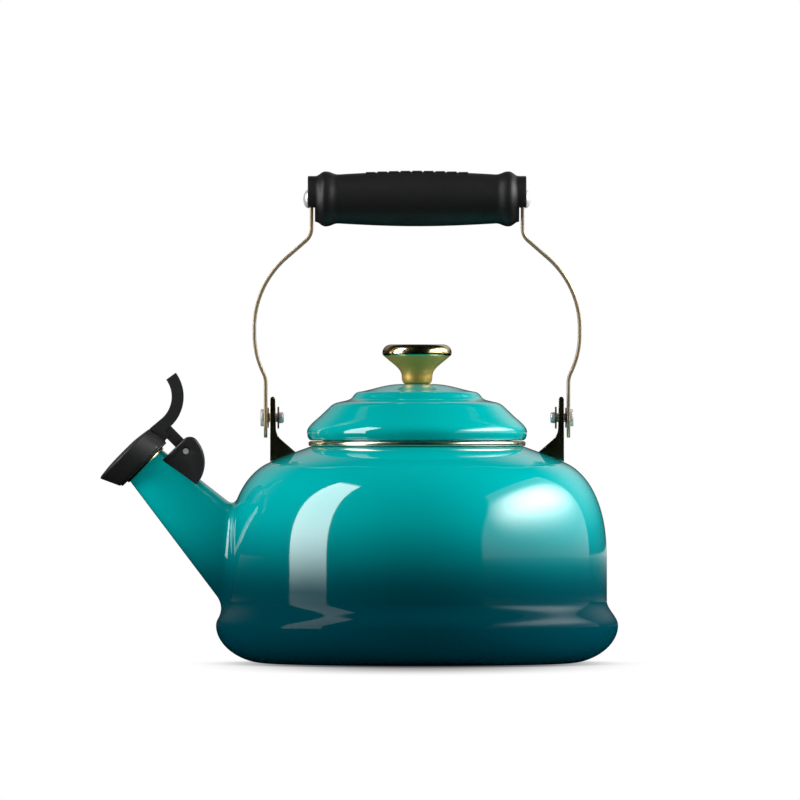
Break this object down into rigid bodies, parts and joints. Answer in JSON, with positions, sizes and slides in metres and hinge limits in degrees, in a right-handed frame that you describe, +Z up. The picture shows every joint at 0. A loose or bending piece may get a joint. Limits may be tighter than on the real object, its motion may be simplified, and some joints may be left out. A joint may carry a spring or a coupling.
{
  "type": "stovetop whistling kettle",
  "caption": "Squat enamelled kettle with a flared base, conical spout, flip-up whistle cap with thumb lever, stepped lift-off lid with a flared knob, and a swinging bail handle.",
  "frame": {"origin": "centre of the flat base, on the body's axis, where the kettle rests", "axes": "+Z up along the body's axis; +X runs from the spout's side across the grip, so the spout points to -X; +Y completes the right-handed frame and points to the back"},
  "size_m": [0.246, 0.191, 0.2339],
  "materials": {
    "enamel": "gloss enamel, turquoise at the top fading to dark petrol at the base",
    "lid_enamel": "gloss turquoise enamel",
    "gold_metal": "polished, light gold",
    "strap_metal": "polished, dark gold",
    "dark_washer": "tarnished",
    "steel": "satin",
    "grip_black": "satin black, finely grained",
    "whistle_black": "satin black"
  },
  "bodies": {
    "kettle": {"base_pan": "enamel", "body_shell": "enamel", "rim_ring": "gold_metal", "spout": "enamel", "spout_rim": "gold_metal", "spout_tab": "steel", "hinge_cover": "whistle_black", "hinge_pin": "steel", "left_lug": "gold_metal", "right_lug": "gold_metal", "left_pivot_rivet": "steel", "right_pivot_rivet": "steel", "left_spacer": "dark_washer", "right_spacer": "dark_washer", "left_rivet_washer": "dark_washer", "right_rivet_washer": "dark_washer"},
    "bail": {"left_strap": "strap_metal", "right_strap": "strap_metal", "grip": "grip_black", "tie_rod": "steel", "left_dome_nut": "steel", "right_dome_nut": "steel"},
    "lid": {"lid_shell": "lid_enamel", "lid_skirt": "steel", "knob": "gold_metal", "knob_screw": "steel", "knob_washer": "steel"},
    "whistle": {"whistle_cap": "whistle_black", "whistle_lever": "whistle_black", "inner_whistle_disc": "steel", "outer_whistle_disc": "steel", "whistle_spacer": "steel"}
  },
  "joints": [
    {"name": "lid_lift", "type": "slide", "parent": "kettle", "child": "lid", "axis": [0, 0, 1], "range_m": [0, 0.045]},
    {"name": "bail_swing", "type": "hinge", "parent": "kettle", "child": "bail", "pos_m": [0, 0, 0.1165], "axis": [1, 0, 0], "range_deg": [-100, 100]},
    {"name": "whistle_flip", "type": "hinge", "parent": "kettle", "child": "whistle", "pos_m": [-0.10973, 0, 0.10061], "axis": [0, 1, 0], "range_deg": [0, 65]}
  ]
}
